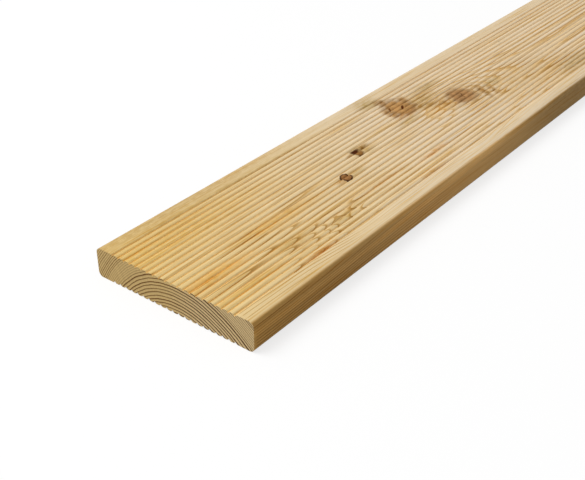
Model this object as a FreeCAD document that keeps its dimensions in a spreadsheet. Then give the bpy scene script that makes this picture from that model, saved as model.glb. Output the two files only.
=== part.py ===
"""Softwood decking board, machined from one plank and reeded alike on its two faces.

The board lies flat. Its origin is the centre of the underside, +X runs along the board,
+Y across it and +Z up. All sizes are in millimetres.
"""

import FreeCAD, Part
import Sketcher
import math
import os

# Driving dimensions, one sheet cell each
SIZES = {
    "board_length": 1800.0,
    "board_width": 145.0,
    "board_thickness": 24.0,
    "arris_radius": 4.0,
    "margin_width": 16.0,
    "reed_pitch": 5.65,
    "crest_land": 1.0,
    "groove_depth": 1.5,
    "groove_root_radius": 0.4,
}

# As many grooves as fit between two smooth margins, each margin measured to a groove's centre line
GROOVE_GAPS = "round((sizes.board_width - 2 * sizes.margin_width) / sizes.reed_pitch)"
GROOVE_SPAN = f"{GROOVE_GAPS} * sizes.reed_pitch"

PARTS_FOLDER = "parts"

# Names for the sketcher's own numbers: the first axis, and the points of a line or an arc
FIRST_AXIS = -1
START, END, CENTRE = 1, 2, 3


def make_sheet(doc):
    """The spreadsheet that drives every feature."""
    sheet = doc.addObject("Spreadsheet::Sheet", "sizes")
    for row, (name, value) in enumerate(SIZES.items(), start=1):
        sheet.set(f"A{row}", name)
        sheet.set(f"B{row}", str(value))
        sheet.setAlias(f"B{row}", name)
    doc.recompute()
    return sheet


def origin_feature(body, role):
    """One of the body's own origin planes or axes."""
    return next(item for item in body.Origin.OriginFeatures if item.Role == role)


def cross_sketch(body, name):
    """A sketch across the board: its first axis is +Y, its second +Z."""
    sketch = body.newObject("Sketcher::SketchObject", name)
    sketch.AttachmentSupport = [(origin_feature(body, "YZ_Plane"), "")]
    sketch.MapMode = "FlatFace"
    return sketch


def add_line(sketch, start, end):
    """A straight edge between two (y, z) points."""
    return sketch.addGeometry(Part.LineSegment(FreeCAD.Vector(*start, 0), FreeCAD.Vector(*end, 0)))


def add_arc(sketch, centre, radius, start_deg, end_deg):
    """A circular arc about a (y, z) point, anticlockwise from start_deg to end_deg."""
    circle = Part.Circle(FreeCAD.Vector(*centre, 0), FreeCAD.Vector(0, 0, 1), radius)
    return sketch.addGeometry(Part.ArcOfCircle(circle, math.radians(start_deg), math.radians(end_deg)))


def constrain(sketch, *constraint):
    return sketch.addConstraint(Sketcher.Constraint(*constraint))


def dimension(sketch, name, expression, *constraint):
    """A named constraint whose value follows the sheet."""
    sketch.renameConstraint(constrain(sketch, *constraint), name)
    sketch.setExpression(f"Constraints.{name}", expression)


def plank_section(body, sheet):
    """The planed section before reeding: a rectangle whose four arrises are rounded."""
    sketch = cross_sketch(body, "plank_section")
    side = sheet.board_width / 2
    top = sheet.board_thickness
    radius = sheet.arris_radius
    flat = side - radius
    low, high = radius, top - radius

    underside = add_line(sketch, (-flat, 0), (flat, 0))
    low_right = add_arc(sketch, (flat, low), radius, 270, 360)
    right_edge = add_line(sketch, (side, low), (side, high))
    high_right = add_arc(sketch, (flat, high), radius, 0, 90)
    upper_face = add_line(sketch, (flat, top), (-flat, top))
    high_left = add_arc(sketch, (-flat, high), radius, 90, 180)
    left_edge = add_line(sketch, (-side, high), (-side, low))
    low_left = add_arc(sketch, (-flat, low), radius, 180, 270)

    outline = [underside, low_right, right_edge, high_right, upper_face, high_left, left_edge, low_left]
    for edge, following in zip(outline, outline[1:] + outline[:1]):
        constrain(sketch, "Tangent", edge, END, following, START)
    for arris in (high_right, high_left, low_left):
        constrain(sketch, "Equal", low_right, arris)
    constrain(sketch, "Symmetric", underside, START, underside, END, FIRST_AXIS, START)
    constrain(sketch, "PointOnObject", underside, START, FIRST_AXIS)

    dimension(
        sketch, "width", "sizes.board_width",
        "DistanceX", left_edge, END, right_edge, START, 2 * side,
    )
    dimension(
        sketch, "thickness", "sizes.board_thickness",
        "DistanceY", underside, START, upper_face, START, top,
    )
    dimension(sketch, "arris", "sizes.arris_radius", "Radius", low_right, radius)
    return sketch


def groove_section(body, sheet):
    """The cut that makes the first groove of the upper face, on the board's -Y side.

    Two convex flanks leave half a rounded reed on either side, each starting level at the edge
    of a narrow crest land, and a small root arc joins them at the bottom. Above the face the
    cut stands as high as the groove is deep.
    """
    sketch = cross_sketch(body, "groove_section")
    top = sheet.board_thickness
    half_mouth = (sheet.reed_pitch - sheet.crest_land) / 2
    depth = sheet.groove_depth
    root = sheet.groove_root_radius
    centre_gap = (half_mouth**2 + depth**2) / (2 * depth)
    flank = centre_gap - root
    lean = math.degrees(math.atan2(centre_gap - depth, half_mouth))
    middle = sheet.margin_width - sheet.board_width / 2
    left, right = middle - half_mouth, middle + half_mouth
    lid = top + depth

    left_wall = add_line(sketch, (left, lid), (left, top))
    left_flank = add_arc(sketch, (left, top - flank), flank, lean, 90)
    root_arc = add_arc(sketch, (middle, top - depth + root), root, 180 + lean, 360 - lean)
    right_flank = add_arc(sketch, (right, top - flank), flank, 90, 180 - lean)
    right_wall = add_line(sketch, (right, top), (right, lid))
    cover = add_line(sketch, (right, lid), (left, lid))

    constrain(sketch, "Coincident", left_wall, END, left_flank, END)
    constrain(sketch, "Tangent", left_flank, START, root_arc, START)
    constrain(sketch, "Tangent", root_arc, END, right_flank, END)
    constrain(sketch, "Coincident", right_flank, START, right_wall, START)
    constrain(sketch, "Coincident", right_wall, END, cover, START)
    constrain(sketch, "Coincident", cover, END, left_wall, START)
    constrain(sketch, "Vertical", left_wall)
    constrain(sketch, "Vertical", right_wall)
    constrain(sketch, "Horizontal", cover)
    constrain(sketch, "Vertical", left_flank, END, left_flank, CENTRE)
    constrain(sketch, "Vertical", right_flank, START, right_flank, CENTRE)
    constrain(sketch, "Horizontal", left_flank, END, right_flank, START)
    constrain(sketch, "Equal", left_flank, right_flank)

    mouth, root_drop = 2 * half_mouth, depth - root
    dimension(
        sketch, "mouth", "sizes.reed_pitch - sizes.crest_land",
        "DistanceX", left_flank, END, right_flank, START, mouth,
    )
    dimension(
        sketch, "from_middle", f"{GROOVE_SPAN} / 2",
        "DistanceX", root_arc, CENTRE, FIRST_AXIS, START, -middle,
    )
    dimension(
        sketch, "face_height", "sizes.board_thickness",
        "DistanceY", FIRST_AXIS, START, right_flank, START, top,
    )
    dimension(
        sketch, "root_drop", "sizes.groove_depth - sizes.groove_root_radius",
        "DistanceY", root_arc, CENTRE, right_flank, START, root_drop,
    )
    dimension(sketch, "root", "sizes.groove_root_radius", "Radius", root_arc, root)
    dimension(
        sketch, "cover_height", "sizes.groove_depth",
        "DistanceY", right_wall, START, right_wall, END, depth,
    )
    return sketch


def make_board(doc, sheet):
    """The plank, planed to its section, with one groove repeated across both faces."""
    body = doc.addObject("PartDesign::Body", "decking_board")
    body.Label = "decking_board"

    plank = body.newObject("PartDesign::Pad", "plank")
    plank.Profile = plank_section(body, sheet)
    plank.SideType = "Symmetric"
    plank.setExpression("Length", "sizes.board_length")
    doc.recompute()

    groove = body.newObject("PartDesign::Pocket", "first_groove")
    groove.Profile = groove_section(body, sheet)
    groove.SideType = "Symmetric"
    groove.Type = "ThroughAll"
    doc.recompute()

    middle_plane = body.newObject("PartDesign::Plane", "middle_plane")
    middle_plane.AttachmentSupport = [(origin_feature(body, "XY_Plane"), "")]
    middle_plane.MapMode = "FlatFace"
    middle_plane.setExpression("AttachmentOffset.Base.z", "sizes.board_thickness / 2")

    reeding = body.newObject("PartDesign::MultiTransform", "reeding")
    reeding.Originals = [groove]
    across = body.newObject("PartDesign::LinearPattern", "across_the_face")
    across.Direction = (origin_feature(body, "Y_Axis"), [""])
    across.setExpression("Length", GROOVE_SPAN)
    across.setExpression("Occurrences", f"{GROOVE_GAPS} + 1")
    underneath = body.newObject("PartDesign::Mirrored", "on_the_underside")
    underneath.MirrorPlane = (middle_plane, [""])
    reeding.Transformations = [across, underneath]
    body.Tip = reeding
    doc.recompute()

    if not body.Shape.Volume < groove.Shape.Volume < plank.Shape.Volume:
        raise RuntimeError("the grooves cut nothing from the plank")
    return body


def check(doc, parts):
    """Stops the build if a feature failed or a part is not a sound solid."""
    for item in doc.Objects:
        if "Invalid" in item.State or "Error" in item.State:
            raise RuntimeError(f"{item.Label} failed: {item.State}")
    for part in parts:
        if part.Shape.isNull() or not part.Shape.isValid():
            raise RuntimeError(f"{part.Label} has no valid shape")


def main():
    doc = FreeCAD.newDocument("decking_board")
    parts = [make_board(doc, make_sheet(doc))]
    check(doc, parts)
    os.makedirs(PARTS_FOLDER, exist_ok=True)
    for part in parts:
        part.Shape.exportStep(os.path.join(PARTS_FOLDER, f"{part.Label}.step"))
        box = part.Shape.BoundBox
        print(f"{part.Label}: {box.XLength:.2f} x {box.YLength:.2f} x {box.ZLength:.2f} mm")


main()
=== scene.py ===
import math
from typing import NamedTuple

import bmesh
import bpy
from bpy.props import FloatProperty, FloatVectorProperty, IntProperty, PointerProperty
from mathutils import Matrix, Vector


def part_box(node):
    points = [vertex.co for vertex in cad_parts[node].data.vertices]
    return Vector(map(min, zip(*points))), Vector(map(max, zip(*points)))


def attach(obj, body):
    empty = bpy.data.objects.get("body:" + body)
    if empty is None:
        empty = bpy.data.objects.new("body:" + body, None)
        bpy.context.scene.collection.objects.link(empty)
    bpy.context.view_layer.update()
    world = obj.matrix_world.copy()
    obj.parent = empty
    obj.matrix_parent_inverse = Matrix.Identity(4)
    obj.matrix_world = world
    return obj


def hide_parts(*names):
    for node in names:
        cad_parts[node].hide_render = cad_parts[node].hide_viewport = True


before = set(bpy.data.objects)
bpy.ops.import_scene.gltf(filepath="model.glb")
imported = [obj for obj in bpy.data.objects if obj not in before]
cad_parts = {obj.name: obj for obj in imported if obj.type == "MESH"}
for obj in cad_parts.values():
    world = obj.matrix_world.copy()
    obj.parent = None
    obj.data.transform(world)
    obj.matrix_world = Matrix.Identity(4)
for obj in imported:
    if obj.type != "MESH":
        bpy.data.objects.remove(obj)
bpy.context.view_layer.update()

bl_info = {
    "name": "Decking board",
    "version": (1, 0, 0),
    "blender": (4, 5, 0),
    "location": "View3D > Sidebar > Decking",
    "description": "A reeded softwood decking board, its planed and sawn finishes, and its studio stage",
    "category": "Add Mesh",
}

MM = 0.001
NODE = "decking_board"
BODY = "root"

LOW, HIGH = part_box(NODE)
LENGTH, WIDTH, THICKNESS = HIGH - LOW


def linear(hex_colour):
    """An sRGB hex colour as the linear numbers that the shaders take, with alpha."""
    channels = [int(hex_colour[i : i + 2], 16) / 255 for i in (1, 3, 5)]
    return tuple(c / 12.92 if c <= 0.04045 else ((c + 0.055) / 1.055) ** 2.4 for c in channels) + (1.0,)


class Knot(NamedTuple):
    """A branch in the board, in millimetres, by the place where its axis crosses the walking face.

    along is measured from the near end and across from the left edge. radius is the knot's own, and
    0 for a branch that stays hidden. bulge is how far the growth rings swell round it, and reach how
    far along the grain the swelling carries. blur and ragged soften and fray its edge, in radii.
    """

    along: float
    across: float
    radius: float
    bulge: float
    reach: float
    core: str = ""
    rim: str = ""
    blur: float = 0.0
    ragged: float = 0.0


class Spot(NamedTuple):
    """An oval on the walking face, in millimetres: its middle, size, turn in degrees and depth."""

    along: float
    across: float
    length: float
    width: float
    tint: str = "#FFFFFF"
    turn: float = 0.0
    depth: float = 8.0


class Stretch(NamedTuple):
    """A part of the board that fades in from one place to another, in millimetres, and its strength there.

    measure names what is measured: along from the near end, across from the left edge, deep from the
    walking face, aside from the middle of the width, apart from the middle of the thickness, or level,
    which is deep on an edge, raised with the band that climbs there.
    """

    measure: str
    start: float
    full: float
    strength: float = 1.0
    smooth: bool = False


KNOTS = [
    # Two small dead knots
    Knot(192.5, 79.5, 5.6, 1.2, 12, "#9A6C3E", "#3C1A00", 0.08, 0.5),
    Knot(233, 62.8, 4.8, 1.2, 12, "#8E6432", "#704A1C", 0.3, 0.6),
    # Two large live ones
    Knot(329, 41, 14.5, 7, 30, "#B98D56", "#A67940", 0.4, 1.2),
    Knot(387.3, 72, 14.6, 18, 42, "#AA8052", "#B48E60", 0.3, 0.8),
    # Branches that stay under the walking face
    Knot(137, 115, 0, 13, 26),
    Knot(210, 122, 0, 6, 90),
    Knot(318, 152, 0, 9, 48),
    # Farther along
    Knot(764, 50, 6, 2, 16, "#93694C", "#5A3818", 0.12, 0.5),
    Knot(955, 96, 10, 8, 35, "#A5764C", "#96693C", 0.4, 0.9),
    Knot(1290, 37, 5, 2, 14, "#93694C", "#4A2A10", 0.12, 0.5),
    Knot(1556, 82, 11, 10, 40, "#A5764C", "#B08A5E", 0.5, 0.8),
]

# Where a knot has cracked or lost a piece, sunk a little and darkened by painted shade in each opening
CHECKS = [
    Spot(233, 58.4, 10, 5, "#421A00", depth=2),
    Spot(320.5, 36, 8, 1.8, "#6A3E0C", turn=-52, depth=0.8),
    Spot(332, 42.5, 6.5, 2.6, "#562600", turn=-35, depth=1.6),
    Spot(388, 72.5, 10, 1, "#5E3A14", turn=-55, depth=0.5),
]

# Stains of the wood, and at the end of the list painted shade on the right-hand edge
STAINS_AND_EDGE_SHADE = [
    # Broad tones of the walking face and its margins
    Spot(30, 33, 190, 34, "#FBF0CE"),
    Spot(60, 5, 300, 14, "#E2D8C4"),
    Spot(120, 15, 220, 6, "#EEE6CE"),
    Spot(470, 96, 120, 50, "#F4ECD8"),
    Spot(535, 120, 70, 22, "#DCD2B4"),
    # Dashes of resin
    Spot(105, 77, 90, 12, "#F8E6BC", turn=3),
    Spot(24, 90, 66, 12, "#FAE2AE"),
    Spot(30, 116, 64, 5, "#F8E8C0", turn=2),
    Spot(94, 128, 30, 3, "#E6BA7C"),
    Spot(208, 106, 50, 3, "#ECD0A0"),
    Spot(274, 111, 36, 4, "#F0D0A4"),
    Spot(246, 128, 30, 3, "#E4C48C"),
    # In the swirl over the first hidden branch
    Spot(92, 105, 44, 9, "#ECE0C2"),
    Spot(142, 114, 26, 6, "#E8DEC0"),
    # Round the two dead knots
    Spot(184, 80.5, 12, 4, "#D8BC90"),
    Spot(205, 80, 20, 6, "#E4DABC"),
    Spot(243, 59, 13, 4, "#B09258"),
    Spot(226, 60, 8, 3, "#CCB080"),
    Spot(241, 62, 20, 12, "#DED4B4", turn=15),
    # Round the first live knot
    Spot(326, 22, 10, 10, "#B48E50"),
    Spot(313, 42, 9, 18, "#C49E60", turn=10),
    Spot(346, 34, 8, 10, "#CCAC70", turn=30),
    Spot(332, 47, 5, 8, "#A87E44"),
    Spot(326, 52, 28, 9, "#CCA26A", turn=-8),
    Spot(316, 16, 26, 12, "#D4CAA4"),
    Spot(317, 5, 36, 11, "#E8E2D2"),
    Spot(312, 63, 30, 8, "#E2D8BA"),
    # Between the live knots
    Spot(355, 48, 40, 22, "#E2D5B2"),
    Spot(345, 57, 30, 10, "#DAC698", turn=20),
    Spot(350, 71, 40, 14, "#FFF2D4", turn=4),
    Spot(363, 68, 10, 8, "#DECCA6"),
    # Round the second live knot
    Spot(386, 70.5, 54, 29, "#E4D6BC"),
    Spot(384, 77, 20, 9, "#E0B898"),
    Spot(384, 36, 34, 9, "#DED6BC"),
    Spot(408, 84, 24, 6, "#BCA068", turn=-62),
    Spot(418, 88, 18, 5, "#C8AE78", turn=-66),
    Spot(434, 78, 24, 9, "#E2DABC"),
    # On the right-hand edge: painted shade, light near the end and deeper farther along
    Spot(40, 162, 260, 34, "#F2E2C8"),
    Spot(470, 162, 190, 34, "#C6BEB2"),
]

# Pale places on the walking face, where the rings hardly show
PALE_PLACES = [
    Spot(104, 79, 26, 16),
    Spot(38, 94, 34, 5),
    Spot(139, 82.5, 56, 9),
    Spot(200, 110, 44, 6),
    Spot(262, 117, 96, 8),
    Spot(460, 88, 44, 14),
    Spot(210, 94, 44, 7),
    Spot(369, 112, 50, 12),
    Spot(433, 110, 44, 9),
    Spot(112, 99, 26, 7),
    Spot(160, 122, 30, 6),
]
PALE_CONTRAST = 0.1

# How the properties below are measured
LENGTHS = {"unit": "LENGTH"}
COLOURS = {"subtype": "COLOR", "size": 4}


class BoardShape(bpy.types.PropertyGroup):
    margin_width: FloatProperty(
        name="Margin width", description="From an edge to the first groove's centre line",
        default=16.0 * MM, **LENGTHS,
    )
    reed_pitch: FloatProperty(
        name="Reed pitch", description="Between two grooves' centre lines", default=5.65 * MM, **LENGTHS,
    )
    crest_land: FloatProperty(
        name="Crest land", description="Flat width on top of each reed", default=1.0 * MM, **LENGTHS,
    )
    groove_depth: FloatProperty(
        name="Groove depth", description="From a crest to the groove's root", default=1.5 * MM, **LENGTHS,
    )
    root_radius: FloatProperty(
        name="Root radius", description="Rounding at the bottom of a groove", default=0.4 * MM, **LENGTHS,
    )
    arris_radius: FloatProperty(
        name="Arris radius", description="Rounding of the four long edges", default=4.0 * MM, **LENGTHS,
    )
    flank_steps: IntProperty(name="Flank steps", description="Edges along each side of a reed", default=4)
    root_steps: IntProperty(name="Root steps", description="Edges round the bottom of a groove", default=3)
    arris_steps: IntProperty(name="Arris steps", description="Edges round a long edge", default=8)
    fine_step: FloatProperty(
        name="Fine step", description="Between sections where a knot has opened", default=0.8 * MM, **LENGTHS,
    )
    plain_step: FloatProperty(
        name="Plain step", description="Between sections of plain board", default=30.0 * MM, **LENGTHS,
    )


class WoodLook(bpy.types.PropertyGroup):
    earlywood: FloatVectorProperty(
        name="Earlywood", description="Pale spring growth", default=linear("#DCC9AB"), **COLOURS,
    )
    near_earlywood: FloatVectorProperty(
        name="Near earlywood", description="Yellower spring growth at the near end",
        default=linear("#E6CA8E"), **COLOURS,
    )
    latewood: FloatVectorProperty(
        name="Latewood", description="Orange summer growth", default=linear("#DEBC80"), **COLOURS,
    )
    ring_line: FloatVectorProperty(
        name="Ring line", description="Densest growth of a year", default=linear("#B08746"), **COLOURS,
    )
    end_earlywood: FloatVectorProperty(
        name="End earlywood", description="Pale growth where it is sawn across",
        default=linear("#DEBE80"), **COLOURS,
    )
    end_ring_line: FloatVectorProperty(
        name="End ring line", description="Dark growth where it is sawn across",
        default=linear("#6C4216"), **COLOURS,
    )


class StageLook(bpy.types.PropertyGroup):
    floor_size: FloatProperty(name="Floor size", description="Side of the floor", default=16.0, **LENGTHS)
    key_power: FloatProperty(
        name="Key power", description="Large softbox on the left", default=203.0, unit="POWER",
    )
    sky: FloatProperty(name="Sky", description="Even light from all round", default=0.385)


def put(tree, kind, inputs=None, **settings):
    """Adds a node with its settings, and fills each input with a value or links it to a node or socket."""
    node = tree.nodes.new(kind)
    for name, value in settings.items():
        setattr(node, name, value)
    for key, value in (inputs or {}).items():
        if isinstance(key, int):
            socket = node.inputs[key]
        else:
            socket = next(s for s in node.inputs if s.name == key and s.enabled)
        if isinstance(value, bpy.types.Node):
            value = next(s for s in value.outputs if s.enabled)
        if isinstance(value, bpy.types.NodeSocket):
            tree.links.new(value, socket)
        else:
            socket.default_value = value
    return node


MATH, VECTOR, RANGE = "ShaderNodeMath", "ShaderNodeVectorMath", "ShaderNodeMapRange"
NOISE, MIX, GROUP = "ShaderNodeTexNoise", "ShaderNodeMix", "ShaderNodeGroup"
TURN, SPLIT, JOIN = "ShaderNodeVectorRotate", "ShaderNodeSeparateXYZ", "ShaderNodeCombineXYZ"
PLUS, MINUS, TIMES = {"operation": "ADD"}, {"operation": "SUBTRACT"}, {"operation": "MULTIPLY"}
LARGER, SCALED = {"operation": "MAXIMUM"}, {"operation": "SCALE"}
SMOOTH = {"interpolation_type": "SMOOTHSTEP"}
BLEND = {"data_type": "RGBA"}
TINT = {"data_type": "RGBA", "blend_type": "MULTIPLY"}

# The middle of every noise, and the range that most of its values lie in
NOISE_MIDDLE = 0.5
NOISE_LOW, NOISE_HIGH = 0.35, 0.6


def over(start, full, low=0.0, high=1.0):
    """The inputs of a range that goes from low to high as its value goes from start to full."""
    return {"From Min": start, "From Max": full, "To Min": low, "To Max": high}


def new_group(name, inputs, outputs):
    """An empty node group with its sockets, and the node that gives its inputs."""
    tree = bpy.data.node_groups.new(name, "ShaderNodeTree")
    for way, sockets in (("INPUT", inputs), ("OUTPUT", outputs)):
        for socket, kind in sockets.items():
            tree.interface.new_socket(socket, in_out=way, socket_type=f"NodeSocket{kind}")
    return tree, tree.nodes.new("NodeGroupInput").outputs


def measures(tree, position):
    """Where a point lies in the board, by the measures that stretches use."""
    parts = put(tree, SPLIT, {0: position}).outputs
    places = {"along": parts["X"], "across": parts["Y"], "deep": parts["Z"]}
    for measure, axis, size in (("aside", "Y", WIDTH), ("apart", "Z", THICKNESS)):
        offset = put(tree, MATH, {0: parts[axis], 1: size / MM / 2}, **MINUS)
        places[measure] = put(tree, MATH, {0: offset}, operation="ABSOLUTE")
    return places


def within(tree, places, *stretches):
    """How far a point lies within all of these stretches: the product of their strengths there."""
    share = 1.0
    for stretch in stretches:
        reach = over(stretch.start, stretch.full, high=stretch.strength)
        easing = SMOOTH if stretch.smooth else {}
        here = put(tree, RANGE, {"Value": places[stretch.measure], **reach}, **easing)
        share = put(tree, MATH, {0: share, 1: here}, **TIMES)
    return share


# A knot's least radius near the pith, and the swelling round it, drawn out along the grain and rounded on top
KNOT_LEAST = 0.5
SWELLING_ACROSS = 1.8
SWELLING_ROUND = 0.04


def knot_group():
    """How one branch shows at a point: the swelling of the rings, and the distance from its axis in radii."""
    tree, given = new_group(
        "branch_knot",
        {
            "Position": "Vector", "Root": "Vector", "Branch": "Vector",
            "Radius": "Float", "Bulge": "Float", "Reach": "Float",
        },
        {"Bulge": "Float", "Core": "Float"},
    )
    offset = put(tree, VECTOR, {0: given["Position"], 1: given["Root"]}, **MINUS)
    dot = put(tree, VECTOR, {0: offset, 1: given["Branch"]}, operation="DOT_PRODUCT")
    square = put(tree, VECTOR, {0: given["Branch"], 1: given["Branch"]}, operation="DOT_PRODUCT")
    share = put(tree, MATH, {0: dot.outputs["Value"], 1: square.outputs["Value"]}, operation="DIVIDE")
    foot = put(tree, VECTOR, {0: given["Branch"], "Scale": share}, **SCALED)
    away = put(tree, VECTOR, {0: offset, 1: foot}, **MINUS)
    distance = put(tree, VECTOR, {0: away}, operation="LENGTH")
    width = put(tree, MATH, {0: given["Radius"], 1: share}, **TIMES)
    width = put(tree, MATH, {0: width, 1: KNOT_LEAST}, **LARGER)
    core = put(tree, MATH, {0: distance.outputs["Value"], 1: width}, operation="DIVIDE")
    drawn_out = (1.0, SWELLING_ACROSS, SWELLING_ACROSS)
    spread = put(tree, VECTOR, {0: away, 1: drawn_out}, **TIMES)
    spread = put(tree, VECTOR, {0: spread}, operation="LENGTH")
    decay = put(tree, MATH, {0: spread.outputs["Value"], 1: given["Reach"]}, operation="DIVIDE")
    decay = put(tree, MATH, {0: decay, 1: decay, 2: SWELLING_ROUND}, operation="MULTIPLY_ADD")
    decay = put(tree, MATH, {0: decay}, operation="SQRT")
    decay = put(tree, MATH, {0: 0.0, 1: decay}, **MINUS)
    decay = put(tree, MATH, {0: decay}, operation="EXPONENT")
    bulge = put(tree, MATH, {0: given["Bulge"], 1: decay}, **TIMES)
    put(tree, "NodeGroupOutput", {"Bulge": bulge, "Core": core})
    return tree


def spot_group():
    """Whether a point lies in an oval on the walking face: 1 inside, fading to 0 round its edge."""
    tree, given = new_group(
        "oval_spot",
        {"Position": "Vector", "Middle": "Vector", "Turn": "Float", "Half Size": "Vector", "Soft": "Float"},
        {"Inside": "Float"},
    )
    offset = put(tree, VECTOR, {0: given["Position"], 1: given["Middle"]}, **MINUS)
    turned = put(tree, TURN, {"Vector": offset, "Angle": given["Turn"]}, rotation_type="Z_AXIS")
    scaled = put(tree, VECTOR, {0: turned, 1: given["Half Size"]}, operation="DIVIDE")
    distance = put(tree, VECTOR, {0: scaled}, operation="LENGTH").outputs["Value"]
    inner = put(tree, MATH, {0: 1.0, 1: given["Soft"]}, **MINUS)
    outer = put(tree, MATH, {0: 1.0, 1: given["Soft"]}, **PLUS)
    inside = put(tree, RANGE, {"Value": distance, **over(inner, outer, 1.0, 0.0)}, **SMOOTH)
    put(tree, "NodeGroupOutput", {"Inside": inside})
    return tree


# The pith lies under the board, and the rings round it are flattened, more so on the left
PITH_ACROSS, PITH_DEPTH = 77.5, 92.4
FLATTENING_LEFT, FLATTENING_RIGHT, FLATTENING_REACH = 1.28, 1.06, 70.0

# The slow wander of a grown stem and its finer waves: length along, width across and amount
WANDER = [(260.0, 45.0, 1.4), (60.0, 7.0, 0.8)]


def pith_distance(tree, place, places):
    """How far a point lies from the pith, as the rings count it."""
    across = put(tree, MATH, {0: places["across"], 1: PITH_ACROSS}, **MINUS)
    sides = over(-FLATTENING_REACH, FLATTENING_REACH, FLATTENING_LEFT, FLATTENING_RIGHT)
    flattening = put(tree, RANGE, {"Value": across, **sides})
    across = put(tree, MATH, {0: across, 1: flattening}, **TIMES)
    below = put(tree, MATH, {0: PITH_DEPTH, 1: places["deep"]}, **MINUS)
    radius = put(tree, JOIN, {0: across, 1: below})
    radius = put(tree, VECTOR, {0: radius}, operation="LENGTH").outputs["Value"]
    for along_mm, across_mm, amount_mm in WANDER:
        wander = put(tree, VECTOR, {0: place, 1: (along_mm, across_mm, across_mm)}, operation="DIVIDE")
        wander = put(tree, NOISE, {"Vector": wander, "Scale": 1.0, "Detail": 1.0})
        wander = put(tree, MATH, {0: wander.outputs[0], 1: NOISE_MIDDLE}, **MINUS)
        radius = put(tree, MATH, {0: wander, 1: amount_mm, 2: radius}, operation="MULTIPLY_ADD")
    return radius


# A branch leans along the stem by this share of its length
BRANCH_LEAN = 0.15

# Within a knot, in radii: where its rim starts and is full, and how many rags its edge has
KNOT_RIM_START, KNOT_RIM_FULL, KNOT_RAGS = 0.6, 0.9, 2.0
KNOT_GROUND, KNOT_DARKEST, KNOT_PALEST = "#8E7152", 0.8, 1.15


def knot_wood(tree, knot, core, place):
    """The mask and the colour of one knot that shows."""
    ragged = put(tree, NOISE, {"Vector": place, "Scale": KNOT_RAGS / knot.radius, "Detail": 4.0}).outputs[0]
    frayed = put(tree, MATH, {0: ragged, 1: NOISE_MIDDLE}, **MINUS)
    frayed = put(tree, MATH, {0: frayed, 1: knot.ragged, 2: core}, operation="MULTIPLY_ADD")
    inside = put(tree, RANGE, {"Value": frayed, **over(1 - knot.blur, 1 + knot.blur, 1.0, 0.0)}, **SMOOTH)
    rim = put(tree, RANGE, {"Value": frayed, **over(KNOT_RIM_START, KNOT_RIM_FULL)}, **SMOOTH)
    colour = put(tree, MIX, {"Factor": rim, "A": linear(knot.core), "B": linear(knot.rim)}, **BLEND)
    mottle = put(tree, RANGE, {"Value": ragged, **over(NOISE_LOW, NOISE_HIGH, KNOT_DARKEST, KNOT_PALEST)})
    return inside, put(tree, VECTOR, {0: colour, "Scale": mottle}, **SCALED)


def grow_knots(tree, place, radius):
    """Swells the rings round each branch, and gives the mask and the colour of the knots that show."""
    branch = knot_group()
    mask, colour = 0.0, linear(KNOT_GROUND)
    for knot in KNOTS:
        tip = Vector((knot.along, knot.across, 0))
        root = Vector((knot.along - BRANCH_LEAN * PITH_DEPTH, PITH_ACROSS, PITH_DEPTH))
        shown = put(
            tree, GROUP,
            {
                "Position": place, "Root": root, "Branch": tip - root,
                "Radius": knot.radius, "Bulge": knot.bulge, "Reach": knot.reach,
            },
            node_tree=branch,
        ).outputs
        radius = put(tree, MATH, {0: radius, 1: shown["Bulge"]}, **MINUS)
        if knot.radius:
            inside, own = knot_wood(tree, knot, shown["Core"], place)
            colour = put(tree, MIX, {"Factor": inside, "A": colour, "B": own}, **BLEND)
            mask = put(tree, MATH, {0: mask, 1: inside}, **LARGER)
    return radius, mask, colour


# Colour soaks in this many times deeper than a spot goes
SOAKING = 4.0

# Cracks have sharp lips
CRACK_SOFT, CRACK_SHADE = 0.25, "#2E1608"

# Stains, and the painted shade on the right-hand edge, run out softly, in waves (number a millimetre, and how
# far they reach), and are thinner in patches
STAIN_SOFT, STAIN_WAVES, STAIN_FRAY = 0.8, 0.11, (7.0, 4.0, 0.0)
STAIN_PATCH, STAIN_THINNEST = (7.0, 2.2, 2.2), 0.5


def oval_share(tree, group, oval, place, soft):
    """How far a point lies inside one oval."""
    return put(
        tree, GROUP,
        {
            "Position": place, "Middle": (oval.along, oval.across, 0.0), "Turn": -math.radians(oval.turn),
            "Half Size": (oval.length / 2, oval.width / 2, SOAKING * oval.depth), "Soft": soft,
        },
        node_tree=group,
    )


def crack_knots(tree, group, place):
    """The mask and the colour of the cracks, whose dark tints are painted shade in their openings."""
    mask, colour = 0.0, linear(CRACK_SHADE)
    for crack in CHECKS:
        inside = oval_share(tree, group, crack, place, CRACK_SOFT)
        mask = put(tree, MATH, {0: mask, 1: inside}, **LARGER)
        # Painted shade down in the opening
        colour = put(tree, MIX, {"Factor": inside, "A": colour, "B": linear(crack.tint)}, **BLEND)
    return mask, colour


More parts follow.
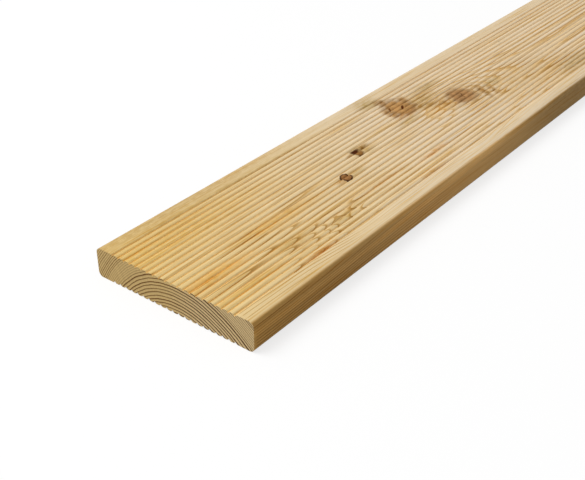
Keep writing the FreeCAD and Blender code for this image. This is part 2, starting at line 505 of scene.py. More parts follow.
def tint_stains_and_shade(tree, group, place):
    """The tint of all stains and of the painted shade on the right-hand edge, and how much of the rings'
    contrast the pale places leave.
    """
    fray = put(tree, NOISE, {"Vector": place, "Scale": STAIN_WAVES, "Detail": 2.0}).outputs["Color"]
    fray = put(tree, VECTOR, {0: fray, 1: (NOISE_MIDDLE,) * 3}, **MINUS)
    frayed = put(tree, VECTOR, {0: fray, 1: STAIN_FRAY, 2: place}, operation="MULTIPLY_ADD")
    patchy = put(tree, VECTOR, {0: place, 1: STAIN_PATCH}, operation="DIVIDE")
    patchy = put(tree, NOISE, {"Vector": patchy, "Scale": 1.0, "Detail": 2.0}).outputs[0]
    patchy = put(tree, RANGE, {"Value": patchy, **over(NOISE_LOW, NOISE_HIGH, low=STAIN_THINNEST)})
    tint = linear("#FFFFFF")
    for stain_and_shade in STAINS_AND_EDGE_SHADE:
        inside = oval_share(tree, group, stain_and_shade, frayed, STAIN_SOFT)
        inside = put(tree, MATH, {0: inside, 1: patchy}, **TIMES)
        # Stains, and painted shade on the right-hand edge
        tint = put(tree, MIX, {"Factor": inside, "A": tint, "B": linear(stain_and_shade.tint)}, **TINT)
    calm = 1.0
    for pale in PALE_PLACES:
        inside = oval_share(tree, group, pale, frayed, STAIN_SOFT)
        inside = put(tree, RANGE, {"Value": inside, "To Min": 1.0, "To Max": PALE_CONTRAST})
        calm = put(tree, MATH, {0: calm, 1: inside}, **TIMES)
    return tint, calm


# Growth rings from the pith outwards, as zones: outer radius, rings in the zone, contrast
RING_ZONES = [(40.0, 12.0, 1.0), (98.4, 22.0, 1.0), (110.5, 7.0, 0.55), (121.0, 6.0, 1.0), (170.0, 26.0, 0.8)]
ZONE_BLEND = 0.8


def count_rings(tree, radius):
    """The number of rings from the pith to a point, which grows zone by zone, and the zone's contrast."""
    count, contrast, inner = 0.0, RING_ZONES[0][2], 0.0
    for outer, rings, strength in RING_ZONES:
        passed = put(tree, RANGE, {"Value": radius, **over(inner, outer, high=rings)})
        count = put(tree, MATH, {0: count, 1: passed}, **PLUS)
        entered = put(tree, RANGE, {"Value": radius, **over(inner - ZONE_BLEND, inner + ZONE_BLEND)})
        contrast = put(tree, MIX, {"Factor": entered, "A": contrast, "B": strength}, data_type="FLOAT")
        inner = outer
    return count, contrast


# The rings are clear on the right past the near end, and on the edge there
CLEAR_RIGHT = (Stretch("along", 10, 70), Stretch("across", 75, 90, 0.8))
CLEAR_EDGE = (Stretch("along", 10, 70), Stretch("across", 138, 144, 0.4))

# They fade farther along and return at the live knots, but stay as they are on the right
FADING = Stretch("along", 140, 210, 0.65)
RETURNING = Stretch("along", 285, 330, 0.6)
UNFADED = Stretch("across", 92, 106)

# They are sharpest along the right-hand margin and edge at first, but not on the end itself
OFF_THE_END = Stretch("along", 0.5, 3)
SHARP_MARGIN = (Stretch("across", 122, 130, 1.2), Stretch("along", 190, 110), OFF_THE_END)

# They run out there farther along, and on the turn of the arris
RUN_OUT = (Stretch("across", 136, 141), Stretch("along", 200, 290, 0.65))
PLAIN_ARRIS = (Stretch("across", 139.5, 141), Stretch("across", 145, 144.2, 0.6), OFF_THE_END)

# They hardly show on the left of the walking face's first hand's breadth
SHY_LEFT = (Stretch("across", 72, 58, 0.6), Stretch("along", 1, 6), Stretch("along", 170, 90))


def place_rings(tree, places, contrast):
    """The contrast of the rings from place to place."""
    clear_right, clear_edge = within(tree, places, *CLEAR_RIGHT), within(tree, places, *CLEAR_EDGE)
    clear = put(tree, MATH, {0: clear_right, 1: clear_edge}, **PLUS)
    contrast = put(tree, MATH, {0: contrast, 1: clear}, **LARGER)

    fade = put(tree, MATH, {0: 1.0, 1: within(tree, places, FADING)}, **MINUS)
    fade = put(tree, MATH, {0: fade, 1: within(tree, places, RETURNING)}, **PLUS)
    fade = put(tree, MATH, {0: fade, 1: within(tree, places, UNFADED)}, **LARGER)
    contrast = put(tree, MATH, {0: contrast, 1: fade}, **TIMES)
    contrast = put(tree, MATH, {0: contrast, 1: within(tree, places, *SHARP_MARGIN)}, **LARGER)

    run_out, plain_arris = within(tree, places, *RUN_OUT), within(tree, places, *PLAIN_ARRIS)
    run_out = put(tree, MATH, {0: run_out, 1: plain_arris}, **LARGER)
    for lost in (run_out, within(tree, places, *SHY_LEFT)):
        kept = put(tree, MATH, {0: 1.0, 1: lost}, **MINUS)
        contrast = put(tree, MATH, {0: contrast, 1: kept}, **TIMES)
    return contrast


# Years are unequal in width, by this share and in waves of about a ring, and in how dense they end
YEAR_UNEVEN, YEAR_WAVES, YEAR_WEAKEST = 0.3, 0.8, 0.7

# Within a year: dense growth sets in slowly and stops at once
LATE_START, LATE_STOP = 0.35, 0.95


def late_growth(tree, count, contrast):
    """How dense the growth is at a point, from pale earlywood to dark latewood."""
    uneven = put(tree, NOISE, {"W": count, "Scale": YEAR_WAVES, "Detail": 0.0}, noise_dimensions="1D")
    uneven = put(tree, MATH, {0: uneven.outputs[0], 1: NOISE_MIDDLE}, **MINUS)
    count = put(tree, MATH, {0: uneven, 1: YEAR_UNEVEN, 2: count}, operation="MULTIPLY_ADD")
    season = put(tree, MATH, {0: count}, operation="FRACT")
    year = put(tree, MATH, {0: count}, operation="FLOOR")
    vigour = put(tree, "ShaderNodeTexWhiteNoise", {"W": year}, noise_dimensions="1D").outputs["Value"]
    vigour = put(tree, RANGE, {"Value": vigour, "To Min": YEAR_WEAKEST})
    rise = put(tree, RANGE, {"Value": season, **over(LATE_START, 1.0)}, **SMOOTH)
    fall = put(tree, RANGE, {"Value": season, **over(LATE_STOP, 1.0)}, **SMOOTH)
    late = put(tree, MATH, {0: rise, 1: fall}, **MINUS)
    late = put(tree, MATH, {0: late, 1: contrast}, **TIMES)
    return put(tree, MATH, {0: late, 1: vigour}, **TIMES)


# Length and width of fibres and streaks. Both are drawn coarser than real fibres, which are some 3 mm long
# and hundredths of a millimetre wide, and so too fine to show
FIBRE = (35.0, 0.9, 0.9)
STREAK = (110.0, 1.7, 1.7)


def figure_group():
    """The figure of the timber at a point in the board: growth rings, knots, cracks darkened with painted
    shade, stains, painted shade on the right-hand edge, and fibres.
    """
    tree, given = new_group(
        "softwood_figure", {"Object": "Vector"},
        {
            "Latewood": "Float", "Knot": "Float", "Knot Colour": "Color", "Check": "Float",
            "Check Colour": "Color", "Stain And Shade": "Color", "Fibre": "Float", "Streak": "Float",
            "Position": "Vector",
        },
    )
    # Millimetres from the near end, from the left edge and below the walking face
    place = put(
        tree, "ShaderNodeMapping",
        {
            "Vector": given["Object"], "Location": (-LOW.x / MM, HIGH.y / MM, HIGH.z / MM),
            "Scale": (1 / MM, -1 / MM, -1 / MM),
        },
    )
    places = measures(tree, place)
    radius = pith_distance(tree, place, places)
    radius, knot, knot_colour = grow_knots(tree, place, radius)
    ovals = spot_group()
    check, check_colour = crack_knots(tree, ovals, place)
    stain_and_shade, calm = tint_stains_and_shade(tree, ovals, place)
    count, contrast = count_rings(tree, radius)
    contrast = place_rings(tree, places, contrast)
    contrast = put(tree, MATH, {0: contrast, 1: calm}, **TIMES)
    late = late_growth(tree, count, contrast)
    fibre = put(tree, VECTOR, {0: place, 1: FIBRE}, operation="DIVIDE")
    fibre = put(tree, NOISE, {"Vector": fibre, "Scale": 1.0, "Detail": 4.0, "Roughness": 0.7})
    streak = put(tree, VECTOR, {0: place, 1: STREAK}, operation="DIVIDE")
    streak = put(tree, NOISE, {"Vector": streak, "Scale": 1.0, "Detail": 2.0, "Roughness": 0.6})
    put(
        tree, "NodeGroupOutput",
        {
            "Latewood": late, "Knot": knot, "Knot Colour": knot_colour, "Check": check,
            "Check Colour": check_colour, "Stain And Shade": stain_and_shade, "Fibre": fibre, "Streak": streak,
            "Position": place,
        },
    )
    return tree


def empty_tree(owner):
    """The node tree of a new material or world, with nothing in it."""
    owner.use_nodes = True
    owner.node_tree.nodes.clear()
    return owner.node_tree


def wood_material(name, figure):
    """A material with the timber's figure in its tree, and the measures of a point."""
    material = bpy.data.materials.new(name)
    tree = empty_tree(material)
    here = put(tree, "ShaderNodeTexCoord").outputs["Object"]
    wood = put(tree, GROUP, {"Object": here}, node_tree=figure).outputs
    return material, tree, wood, measures(tree, wood["Position"])


# The first part of the board
NEAR_PART = Stretch("along", 160, 80)

# Yellower towards the near end, but less so on the right-hand margin
LESS_YELLOW = Stretch("along", 0, 300)
LESS_YELLOW_MARGIN = Stretch("across", 124, 134, 0.25)

# How dense the growth is where the line that ends a year begins
LINE_START = 0.45


def tint_growth(tree, places, late, line, look):
    """Pale spring growth, orange summer growth, and the dark line that ends a year."""
    far, margin = within(tree, places, LESS_YELLOW), within(tree, places, LESS_YELLOW_MARGIN)
    far = put(tree, MATH, {0: far, 1: margin}, **PLUS, use_clamp=True)
    early = {"Factor": far, "A": tuple(look.near_earlywood), "B": tuple(look.earlywood)}
    colour = put(tree, MIX, early, **BLEND)
    colour = put(tree, MIX, {"Factor": late, "A": colour, "B": tuple(look.latewood)}, **BLEND)
    return put(tree, MIX, {"Factor": line, "A": colour, "B": tuple(look.ring_line)}, **BLEND)


# The reeds reach this far from the middle, and their grooves lie below the crests, where a warm painted light
# stands in for light passed from flank to flank
REEDS_ASIDE = 60.0
GROOVE = Stretch("apart", 11.7, 10.6, smooth=True)
GROOVE_BOUNCE_TINT = "#FAF1DF"

# Painted light and shade on the reeds: crests a little duller and grooves paler at the near end, both paler
# past the dead knots, and the grooves paler still past the live ones
NEAR_CREST, NEAR_GROOVE, FAR_CREST = 0.95, 1.11, 1.05
PAST_DEAD_KNOTS = Stretch("along", 200, 250)
PAST_LIVE_KNOTS = Stretch("along", 360, 430, 0.08)


def tint_reeds(tree, places, colour):
    """Painted light on the reeds: warmer down in the grooves, where light passes from flank to flank, and
    painted light and shade on crests and grooves from place to place.
    """
    reeded = put(tree, MATH, {0: places["aside"], 1: REEDS_ASIDE}, operation="LESS_THAN")
    # Painted warm light down in the grooves, standing in for light bounced between the flanks
    painted_groove = put(tree, MATH, {0: within(tree, places, GROOVE), 1: reeded}, **TIMES)
    colour = put(tree, MIX, {"Factor": painted_groove, "A": colour, "B": linear(GROOVE_BOUNCE_TINT)}, **TINT)
    near = within(tree, places, NEAR_PART)
    far = put(tree, MATH, {0: within(tree, places, PAST_DEAD_KNOTS), 1: reeded}, **TIMES)
    far_groove = put(tree, MATH, {0: within(tree, places, PAST_LIVE_KNOTS), 1: FAR_CREST}, **PLUS)
    # Painted light and shade by depth: crests dulled or lifted, grooves lit paler
    for share, crest, groove in ((near, NEAR_CREST, NEAR_GROOVE), (far, FAR_CREST, far_groove)):
        painted_relief = put(tree, RANGE, {"Value": painted_groove, "To Min": crest, "To Max": groove})
        painted_relief = put(tree, MIX, {"Factor": share, "A": 1.0, "B": painted_relief}, data_type="FLOAT")
        colour = put(tree, VECTOR, {0: colour, "Scale": painted_relief}, **SCALED)
    return colour


# The two narrow edges, browner than the faces and unevenly so along them: painted shade, as on edges turned
# from the light
EDGES = Stretch("aside", 69.2, 71.3, smooth=True)
EDGE_SHADE_TINT = "#E8CFA2"
EDGE_SHADE_CHANGES = [(Stretch("along", 130, 210), "#FADAA4"), (Stretch("along", 300, 440), "#DCC69C")]

# Painted shade darkens the turn of each arris a little
ARRIS_PAINTED_SHADE = (Stretch("aside", 70, 71.3, smooth=True), Stretch("aside", 72.25, 71.6, 0.24, smooth=True))

# A paler band climbs along the edges, and painted light from the floor makes them a little paler towards the
# underside
BAND_CLIMB = Stretch("along", 140, 290, 6.5)
BAND = (
    Stretch("level", 12.2, 11, smooth=True), Stretch("level", 6, 7.5, smooth=True),
    Stretch("along", 400, 320, 0.2),
)
PAINTED_FLOOR_LIGHT = Stretch("deep", 13, 22, 0.12)

# Where ring lines meet the edges they are darker still
EDGE_LINE_TINT = "#D8CCB8"


def tint_edges(tree, places, line, colour):
    """The browner edges in painted shade, with painted shade on their arrises, pale bands, painted floor
    light below, and ring lines.
    """
    edge = within(tree, places, EDGES)
    edge_shade = linear(EDGE_SHADE_TINT)
    for stretch, tint in EDGE_SHADE_CHANGES:
        share = within(tree, places, stretch)
        edge_shade = put(tree, MIX, {"Factor": share, "A": edge_shade, "B": linear(tint)}, **BLEND)
    # Painted shade on the edges
    colour = put(tree, MIX, {"Factor": edge, "A": colour, "B": edge_shade}, **TINT)
    # Painted shade on the turn of each arris
    arris_shade = put(tree, MATH, {0: 1.0, 1: within(tree, places, *ARRIS_PAINTED_SHADE)}, **MINUS)
    colour = put(tree, VECTOR, {0: colour, "Scale": arris_shade}, **SCALED)
    level = put(tree, MATH, {0: places["deep"], 1: within(tree, places, BAND_CLIMB)}, **PLUS)
    band = within(tree, {**places, "level": level}, *BAND)
    # Painted light from the floor, paler towards the underside, added to the band
    band = put(tree, MATH, {0: band, 1: within(tree, places, PAINTED_FLOOR_LIGHT)}, **PLUS)
    band = put(tree, MATH, {0: band, 1: edge, 2: 1.0}, operation="MULTIPLY_ADD")
    colour = put(tree, VECTOR, {0: colour, "Scale": band}, **SCALED)
    dark = put(tree, MATH, {0: line, 1: edge}, **TIMES)
    dark = put(tree, MATH, {0: dark, 1: within(tree, places, NEAR_PART)}, **TIMES)
    return put(tree, MIX, {"Factor": dark, "A": colour, "B": linear(EDGE_LINE_TINT)}, **TINT)


# Streaks are the upper part of their noise
STREAK_START, STREAK_FULL, STREAK_TINT = 0.5, 0.72, "#EFDCB0"

# Fibres shade the wood a little either way
FIBRE_LOW, FIBRE_HIGH, FIBRE_DARK, FIBRE_PALE = 0.3, 0.7, 0.9, 1.09


def tint_grain(tree, wood, colour):
    """Streaks, stains with the right-hand edge's painted shade, fibres, and the knots and cracks over them,
    the cracks in painted shade.
    """
    streak = put(tree, RANGE, {"Value": wood["Streak"], **over(STREAK_START, STREAK_FULL)}, **SMOOTH)
    colour = put(tree, MIX, {"Factor": streak, "A": colour, "B": linear(STREAK_TINT)}, **TINT)
    colour = put(tree, MIX, {"Factor": 1.0, "A": colour, "B": wood["Stain And Shade"]}, **TINT)
    shade = over(FIBRE_LOW, FIBRE_HIGH, FIBRE_DARK, FIBRE_PALE)
    shade = put(tree, RANGE, {"Value": wood["Fibre"], **shade})
    colour = put(tree, VECTOR, {0: colour, "Scale": shade}, **SCALED)
    for mask in ("Knot", "Check"):
        colour = put(tree, MIX, {"Factor": wood[mask], "A": colour, "B": wood[f"{mask} Colour"]}, **BLEND)
    return colour


# Relief of planed fibres and of the saw's cut
GRAIN_DEPTH = 0.1 * MM

# Dense latewood takes a little more polish
ROUGH_EARLY, ROUGH_LATE = 0.68, 0.52


def planed_softwood(figure, look):
    """Pine planed and moulded along the grain: a dull sheen, orange latewood on pale earlywood."""
    material, tree, wood, places = wood_material("planed_softwood", figure)
    late = wood["Latewood"]
    line = put(tree, RANGE, {"Value": late, **over(LINE_START, 1.0)}, **SMOOTH)
    colour = tint_growth(tree, places, late, line, look)
    colour = tint_reeds(tree, places, colour)
    colour = tint_edges(tree, places, line, colour)
    colour = tint_grain(tree, wood, colour)
    rough = put(tree, RANGE, {"Value": late, "To Min": ROUGH_EARLY, "To Max": ROUGH_LATE})
    grain = put(tree, "ShaderNodeBump", {"Height": wood["Fibre"], "Distance": GRAIN_DEPTH, "Strength": 0.3})
    shader = put(
        tree, "ShaderNodeBsdfPrincipled",
        {"Base Color": colour, "Roughness": rough, "Specular IOR Level": 0.06, "Normal": grain},
    )
    put(tree, "ShaderNodeOutputMaterial", {"Surface": shader})
    return material


# The rings lie closer together on the right of the end, and their lines are stronger and darker
END_RIGHT = Stretch("across", 66, 96)
END_RIGHT_LINES, END_RIGHT_PALE, END_RIGHT_DARK = 1.4, "#E8CA94", "#4C2A0A"
END_LINE_START, END_LINE_FULL = 0.14, 0.75

# Cut fibres make a speckle, drawn coarser than real, in number a millimetre, and the saw's teeth make
# slanting scores
SPECKLE = 1.4
SCORES, SCORE_SLANT = (1.0, 1.1, 40.0), 0.5
CUT_LOW, CUT_HIGH, CUT_DARK, CUT_PALE = 0.7, 1.3, 0.88, 1.1


def sawn_end_grain(figure, look):
    """The same timber sawn across: duller and darker, because the cut fibres swallow light."""
    material, tree, wood, places = wood_material("sawn_end_grain", figure)
    right = within(tree, places, END_RIGHT)
    stronger = put(tree, RANGE, {"Value": right, "To Min": 1.0, "To Max": END_RIGHT_LINES})
    late = put(tree, MATH, {0: wood["Latewood"], 1: stronger}, **TIMES)
    line = put(tree, RANGE, {"Value": late, **over(END_LINE_START, END_LINE_FULL)})
    pale = {"Factor": right, "A": tuple(look.end_earlywood), "B": linear(END_RIGHT_PALE)}
    dark = {"Factor": right, "A": tuple(look.end_ring_line), "B": linear(END_RIGHT_DARK)}
    pale, dark = put(tree, MIX, pale, **BLEND), put(tree, MIX, dark, **BLEND)
    colour = put(tree, MIX, {"Factor": line, "A": pale, "B": dark}, **BLEND)
    speckle = put(tree, NOISE, {"Vector": wood["Position"], "Scale": SPECKLE, "Detail": 2.0})
    scores = put(tree, TURN, {"Vector": wood["Position"], "Angle": SCORE_SLANT}, rotation_type="X_AXIS")
    scores = put(tree, VECTOR, {0: scores, 1: SCORES}, operation="DIVIDE")
    scores = put(tree, NOISE, {"Vector": scores, "Scale": 1.0, "Detail": 2.0})
    cut = put(tree, MATH, {0: speckle.outputs[0], 1: scores.outputs[0]}, **PLUS)
    shade = put(tree, RANGE, {"Value": cut, **over(CUT_LOW, CUT_HIGH, CUT_DARK, CUT_PALE)})
    colour = put(tree, VECTOR, {0: colour, "Scale": shade}, **SCALED)
    torn = put(tree, "ShaderNodeBump", {"Height": cut, "Distance": GRAIN_DEPTH, "Strength": 0.4})
    shader = put(
        tree, "ShaderNodeBsdfPrincipled",
        {"Base Color": colour, "Roughness": 0.85, "Specular IOR Level": 0.1, "Normal": torn},
    )
    put(tree, "ShaderNodeOutputMaterial", {"Surface": shader})
    return material


def draw_line(bm, vert, y, z):
    """Draws on from vert in a straight line, and returns the new end."""
    end = bmesh.ops.extrude_vert_indiv(bm, verts=[vert])["verts"][0]
    end.co = (vert.co.x, y, z)
    return end


def draw_arc(bm, vert, y, z, degrees, steps):
    """Draws on from vert in an arc about (y, z), and returns the new end."""
    spun = bmesh.ops.spin(
        bm, geom=[vert], cent=(vert.co.x, y, z), axis=(1, 0, 0), angle=math.radians(degrees), steps=steps,
        use_merge=False,
    )
    return next(item for item in spun["geom_last"] if isinstance(item, bmesh.types.BMVert))


def draw_section(bm, shape):
    """The outline of the board's near end: the upper half is drawn, and a half turn makes the lower one."""
    half_mouth = (shape.reed_pitch - shape.crest_land) / 2
    depth, root, arris = shape.groove_depth, shape.root_radius, shape.arris_radius
    centre_gap = (half_mouth**2 + depth**2) / (2 * depth)
    flank = centre_gap - root
    lean = math.degrees(math.atan2(centre_gap - depth, half_mouth))
    gaps = round((WIDTH - 2 * shape.margin_width) / shape.reed_pitch)
    side, top, middle = WIDTH / 2, HIGH.z, THICKNESS / 2

    end = bm.verts.new((LOW.x, side, middle))
    end = draw_line(bm, end, side, top - arris)
    end = draw_arc(bm, end, side - arris, top - arris, 90, shape.arris_steps)
    for groove in range(gaps + 1):
        centre = (gaps / 2 - groove) * shape.reed_pitch
        end = draw_line(bm, end, centre + half_mouth, top)
        end = draw_arc(bm, end, centre + half_mouth, top - flank, 90 - lean, shape.flank_steps)
        end = draw_arc(bm, end, centre, top - depth + root, 2 * lean - 180, shape.root_steps)
        end = draw_arc(bm, end, centre - half_mouth, top - flank, 90 - lean, shape.flank_steps)
    end = draw_line(bm, end, arris - side, top)
    end = draw_arc(bm, end, arris - side, top - arris, 90, shape.arris_steps)
    draw_line(bm, end, -side, middle)

    half = bmesh.ops.duplicate(bm, geom=bm.verts[:] + bm.edges[:])
    turned = [item for item in half["geom"] if isinstance(item, bmesh.types.BMVert)]
    bmesh.ops.rotate(bm, verts=turned, cent=(0, 0, middle), matrix=Matrix.Rotation(math.pi, 3, "X"))
    bmesh.ops.remove_doubles(bm, verts=bm.verts[:], dist=shape.root_radius / 100)


# Sections stand close together this far past both ends of a crack, in millimetres
CRACK_MARGIN = 1.0


def stations(shape):
    """Where the sections stand along the board: close together at the cracks, and far apart elsewhere."""
    fine, plain = shape.fine_step, shape.plain_step
    places = [LOW.x + LENGTH / 2]
    places += [LOW.x + plain * step for step in range(1, math.ceil(LENGTH / plain))]
    for crack in CHECKS:
        first = LOW.x + (crack.along - crack.length / 2 - CRACK_MARGIN) * MM
        steps = math.ceil((crack.length + 2 * CRACK_MARGIN) * MM / fine)
        places += [first + fine * step for step in range(steps + 1)]
    kept = [LOW.x]
    for place in sorted(places):
        if kept[-1] + fine / 2 < place < HIGH.x - fine / 2:
            kept.append(place)
    return kept[1:] + [HIGH.x]


def grow_along(bm, rim, shape):
    """Draws the near end's rim out through all stations, and returns the far end's rim."""
    x = LOW.x
    for place in stations(shape):
        grown = bmesh.ops.extrude_edge_only(bm, edges=rim)["geom"]
        verts = [item for item in grown if isinstance(item, bmesh.types.BMVert)]
        edges = [item for item in grown if isinstance(item, bmesh.types.BMEdge)]
        fresh = set(verts)
        rim = [edge for edge in edges if fresh.issuperset(edge.verts)]
        bmesh.ops.translate(bm, verts=verts, vec=(place - x, 0, 0))
        x = place
    return rim


# The flat map: its name, the gap round each piece, where the ends start, and the underside's share of detail
FLAT_MAP = "OFBake"
MAP_GAP, MAP_ENDS, UNDERSIDE_WEIGHT = 0.004, 0.91, 0.55


def mark_around(end, around):
    """Gives each corner of an end its share of the way round, from the left edge over the walking face."""
    corners = [loop.vert for loop in end.loops]
    first = max(range(len(corners)), key=lambda i: corners[i].co.y - abs(corners[i].co.z - THICKNESS / 2))
    corners = corners[first:] + corners[:first]
    if corners[1].co.z < corners[0].co.z:
        corners = corners[:1] + corners[:0:-1]
    passed = [0.0]
    for here, after in zip(corners, corners[1:] + corners[:1]):
        weight = 1.0 if here.co.z + after.co.z > THICKNESS else UNDERSIDE_WEIGHT
        passed.append(passed[-1] + weight * (after.co - here.co).length)
    for vert, way in zip(corners, passed):
        vert[around] = way / passed[-1]


def lay_flat(bm, ends, around):
    """A map with no overlaps: half the board in each of two rows, and the two ends above them."""
    flat = bm.loops.layers.uv.new(FLAT_MAP)
    half, room = LENGTH / 2, 1 - 2 * MAP_GAP
    for face in bm.faces:
        row = int(face.calc_center_median().x > LOW.x + half)
        shares = [loop.vert[around] for loop in face.loops]
        over_seam = max(shares) - min(shares) > 0.5
        for loop, share in zip(face.loops, shares):
            place = loop.vert.co
            if face in ends:
                u = (place.y - LOW.y) / WIDTH * (0.5 - 2 * MAP_GAP) + row / 2
                v = MAP_ENDS + (place.z - LOW.z) / THICKNESS * (1 - MAP_ENDS - 2 * MAP_GAP)
            else:
                u = ((place.x - LOW.x) / half - row) * room
                share = 1.0 if over_seam and share < 0.5 else share
                v = row * MAP_ENDS / 2 + share * (MAP_ENDS / 2 - MAP_GAP)
            loop[flat].uv = (u + MAP_GAP, v + MAP_GAP)


# The walking face lies within this many millimetres of the top, its grooves included
FACE_RELIEF = 2.0


def open_checks(bm):
    """Sinks the walking face where a knot has cracked or lost a piece."""
    for vert in bm.verts:
        if (HIGH.z - vert.co.z) / MM > FACE_RELIEF:
            continue
        along, across = (vert.co.x - LOW.x) / MM, (HIGH.y - vert.co.y) / MM
        for crack in CHECKS:
            u, v = along - crack.along, across - crack.across
            turn = math.radians(crack.turn)
            lengthwise = (u * math.cos(turn) + v * math.sin(turn)) / (crack.length / 2)
            crosswise = (v * math.cos(turn) - u * math.sin(turn)) / (crack.width / 2)
            out = lengthwise**2 + crosswise**2
            if out < 1:
                vert.co.z -= crack.depth * MM * math.sqrt(1 - out)


def finish_faces(bm, ends):
    """Faces outwards and smooth, except for the sawn ends, which are flat and have the second material."""
    bmesh.ops.recalc_face_normals(bm, faces=bm.faces[:])
    for face in bm.faces:
        face.smooth = True
    for face in ends:
        face.material_index = 1
        face.smooth = False
        for edge in face.edges:
            edge.smooth = False


def add_object(scene, name, data):
    """A new object in the scene for a mesh, a lamp or a camera."""
    item = bpy.data.objects.new(name, data)
    scene.collection.objects.link(item)
    return item


def add_mesh(scene, name, bm):
    """A new object in the scene for what was drawn in bm."""
    mesh = bpy.data.meshes.new(name)
    bm.to_mesh(mesh)
    bm.free()
    return add_object(scene, name, mesh)


class DECKING_OT_board(bpy.types.Operator):
    """Makes the decking board as one moulded plank"""

    bl_idname = "decking.board"
    bl_label = "Decking board"

    def execute(self, context):
        scene = context.scene
        bm = bmesh.new()
        around = bm.verts.layers.float.new("around")
        draw_section(bm, scene.board_shape)
        rim = bm.edges[:]
        ends = bmesh.ops.contextual_create(bm, geom=rim)["faces"]
        mark_around(ends[0], around)
        rim = grow_along(bm, rim, scene.board_shape)
        ends += bmesh.ops.contextual_create(bm, geom=rim)["faces"]
        lay_flat(bm, ends, around)
        bm.verts.layers.float.remove(around)
        open_checks(bm)
        # No corner lies outside the board's own box
        for vert in bm.verts:
            vert.co = [min(max(c, low), high) for c, low, high in zip(vert.co, LOW, HIGH)]
        finish_faces(bm, ends)
        board = add_mesh(scene, "board", bm)
        figure = figure_group()
        board.data.materials.append(planed_softwood(figure, scene.wood_look))
        board.data.materials.append(sawn_end_grain(figure, scene.wood_look))
        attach(board, BODY)
        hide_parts(NODE)
        return {"FINISHED"}


def seen_directly(tree):
    """1 for what the camera sees, also by reflection or through glass, and 0 for what lights the board."""
    path = put(tree, "ShaderNodeLightPath").outputs
    seen = put(tree, MATH, {0: path["Is Camera Ray"], 1: path["Is Glossy Ray"]}, **LARGER)
    return put(tree, MATH, {0: seen, 1: path["Is Transmission Ray"]}, **LARGER)


FLOOR_DULL, FLOOR_BRIGHT, FLOOR_GLOW = "#B4B4B4", "#FAFAFA", 0.75


def floor_paper():
    """Matt white paper, lit through: it looks white, with a soft shadow, and throws little light back."""
    material = bpy.data.materials.new("floor_paper")
    tree = empty_tree(material)
    seen = seen_directly(tree)
    shade = put(tree, MIX, {"Factor": seen, "A": linear(FLOOR_DULL), "B": linear(FLOOR_BRIGHT)}, **BLEND)
    paper = put(tree, "ShaderNodeBsdfDiffuse", {"Color": shade})
    white = put(tree, "ShaderNodeEmission", {"Color": linear("#FFFFFF"), "Strength": 1.0})
    glow = put(tree, MATH, {0: seen, 1: FLOOR_GLOW}, **TIMES)
    both = put(tree, "ShaderNodeMixShader", {0: glow, 1: paper, 2: white})
    put(tree, "ShaderNodeOutputMaterial", {"Surface": both})
    return material


def studio_world(look):
    """Even light from all round, which looks white."""
    world = bpy.data.worlds.new("studio")
    tree = empty_tree(world)
    strength = put(tree, RANGE, {"Value": seen_directly(tree), "To Min": look.sky, "To Max": 1.0})
    sky = put(tree, "ShaderNodeBackground", {"Color": linear("#FFFFFF"), "Strength": strength})
    put(tree, "ShaderNodeOutputWorld", {"Surface": sky})
    return world


# Lamp and camera are placed from the near end's lower middle
NEAR_END = Vector((LOW.x, 0, 0))

# The softbox: its side, how far it stands from the place that it faces, and in which direction
KEY_SIDE, KEY_DISTANCE = 3.0, 5.0
KEY_TARGET, KEY_DIRECTION = Vector((0.35, 0, 0)), Vector((-0.38, 0.43, 1.0))


def key_softbox(scene, look):
    """One large softbox, above the board on its left."""
    lamp = bpy.data.lights.new("key_softbox", "AREA")
    lamp.shape = "RECTANGLE"
    lamp.size = KEY_SIDE
    lamp.size_y = KEY_SIDE
    lamp.energy = look.key_power
    key = add_object(scene, "key_softbox", lamp)
    target = NEAR_END + KEY_TARGET
    key.location = target + KEY_DIRECTION.normalized() * KEY_DISTANCE
    key.rotation_euler = (target - key.location).to_track_quat("-Z", "Y").to_euler()


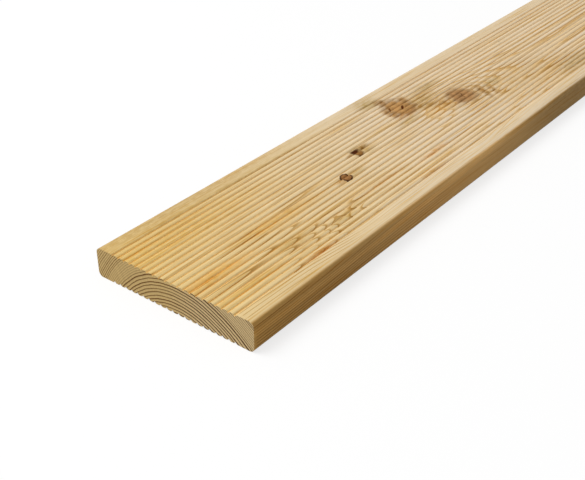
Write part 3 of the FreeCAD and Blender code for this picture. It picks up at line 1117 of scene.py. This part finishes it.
# The camera: its place, its heading and tilt in degrees, and its lens and sensor in millimetres
CAMERA_PLACE = Vector((-381.0, -401.9, 404.7)) * MM
CAMERA_HEADING, CAMERA_TILT = 38.06, 32.32
CAMERA_LENS, CAMERA_SENSOR, CAMERA_NEAREST = 61.4, 36.0, 0.01


def stage_camera(scene):
    """The camera, which looks down over the near end along the board."""
    lens = bpy.data.cameras.new("camera")
    lens.lens = CAMERA_LENS
    lens.sensor_width = CAMERA_SENSOR
    lens.clip_start = CAMERA_NEAREST
    camera = add_object(scene, "camera", lens)
    camera.location = NEAR_END + CAMERA_PLACE
    camera.rotation_euler = (math.radians(90 - CAMERA_TILT), 0, math.radians(CAMERA_HEADING - 90))
    return camera


class DECKING_OT_stage(bpy.types.Operator):
    """Makes the floor, the lamp, the sky and the camera"""

    bl_idname = "decking.stage"
    bl_label = "Stage"

    def execute(self, context):
        scene = context.scene
        look = scene.stage_look
        scene.view_settings.view_transform = "Standard"
        bm = bmesh.new()
        bmesh.ops.create_grid(bm, x_segments=1, y_segments=1, size=look.floor_size / 2)
        floor = add_mesh(scene, "floor", bm)
        floor.data.materials.append(floor_paper())
        scene.world = studio_world(look)
        key_softbox(scene, look)
        scene.camera = stage_camera(scene)
        return {"FINISHED"}


class DECKING_PT_panel(bpy.types.Panel):
    bl_label = "Decking board"
    bl_idname = "DECKING_PT_panel"
    bl_space_type = "VIEW_3D"
    bl_region_type = "UI"
    bl_category = "Decking"

    def draw(self, context):
        for operator in (DECKING_OT_board, DECKING_OT_stage):
            self.layout.operator(operator.bl_idname)


CLASSES = (BoardShape, WoodLook, StageLook, DECKING_OT_board, DECKING_OT_stage, DECKING_PT_panel)


def register():
    for item in CLASSES:
        bpy.utils.register_class(item)
    bpy.types.Scene.board_shape = PointerProperty(type=BoardShape)
    bpy.types.Scene.wood_look = PointerProperty(type=WoodLook)
    bpy.types.Scene.stage_look = PointerProperty(type=StageLook)


def unregister():
    for name in ("board_shape", "wood_look", "stage_look"):
        delattr(bpy.types.Scene, name)
    for item in reversed(CLASSES):
        bpy.utils.unregister_class(item)


def main():
    register()
    bpy.ops.decking.board()
    bpy.ops.decking.stage()


if __name__ == "__main__":
    main()
